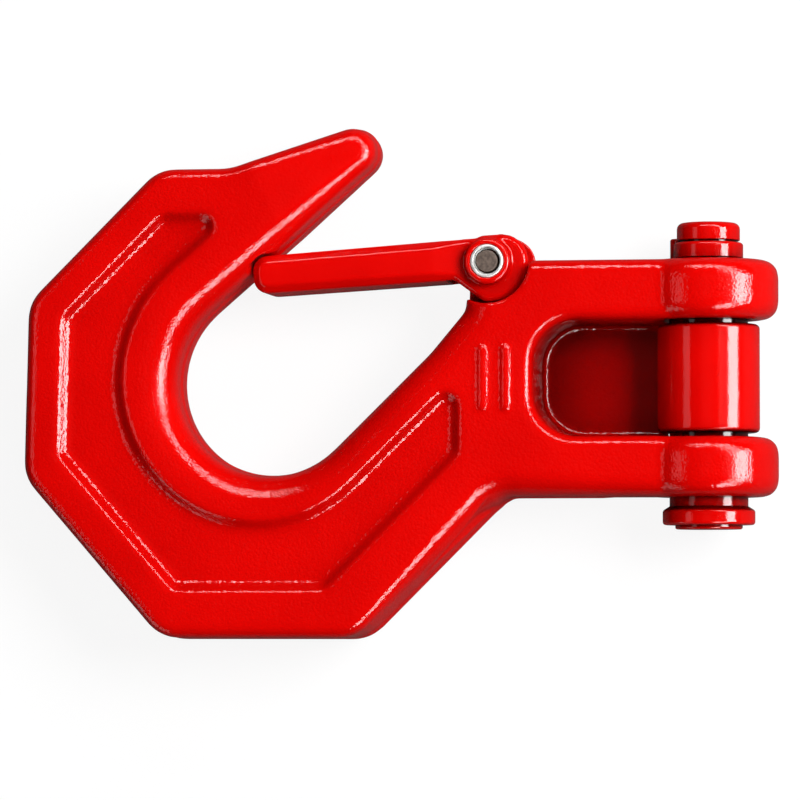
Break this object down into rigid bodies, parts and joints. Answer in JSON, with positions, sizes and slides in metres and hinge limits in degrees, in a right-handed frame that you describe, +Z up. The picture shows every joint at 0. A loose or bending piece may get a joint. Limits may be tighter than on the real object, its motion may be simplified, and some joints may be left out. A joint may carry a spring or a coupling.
{
  "type": "clevis hook with latch",
  "caption": "Forged clevis slip hook with an eight-sided back, a roller on its load pin and a sprung latch across the throat.",
  "frame": {"origin": "middle of the hook's footprint, at the lowest point of the fork's ears, with the hook lying flat", "axes": "+X from the bowl towards the fork, +Y across the hook towards the tip, +Z up through its thickness"},
  "size_m": [0.142, 0.0958, 0.0262],
  "materials": {
    "red_coat": "glossy red powder coat",
    "bright_zinc": "bright zinc plating",
    "dark_steel": "dark phosphated steel",
    "spring_steel": "bare spring wire"
  },
  "bodies": {
    "hook": {"hook_body": "red_coat", "load_pin": "red_coat", "pin_collar": "red_coat", "lock_dowel": "red_coat", "latch_pin": "dark_steel", "latch_spring": "spring_steel"},
    "latch": {"latch": "red_coat", "latch_bush_front": "bright_zinc", "latch_bush_rear": "bright_zinc"},
    "roller": {"pin_roller": "red_coat"}
  },
  "joints": [
    {"name": "latch_pivot", "type": "hinge", "parent": "hook", "child": "latch", "pos_m": [0.01729, 0.02236, 0.0131], "axis": [0, 0, 1], "range_deg": [0, 28], "stiffness_Nm_per_rad": 0.15, "springref_deg": -28.65, "deforming": ["latch_spring"]},
    {"name": "roller_spin", "type": "hinge", "parent": "hook", "child": "roller", "pos_m": [0.05789, 0.00046, 0.0131], "axis": [0, 1, 0], "continuous": true}
  ]
}
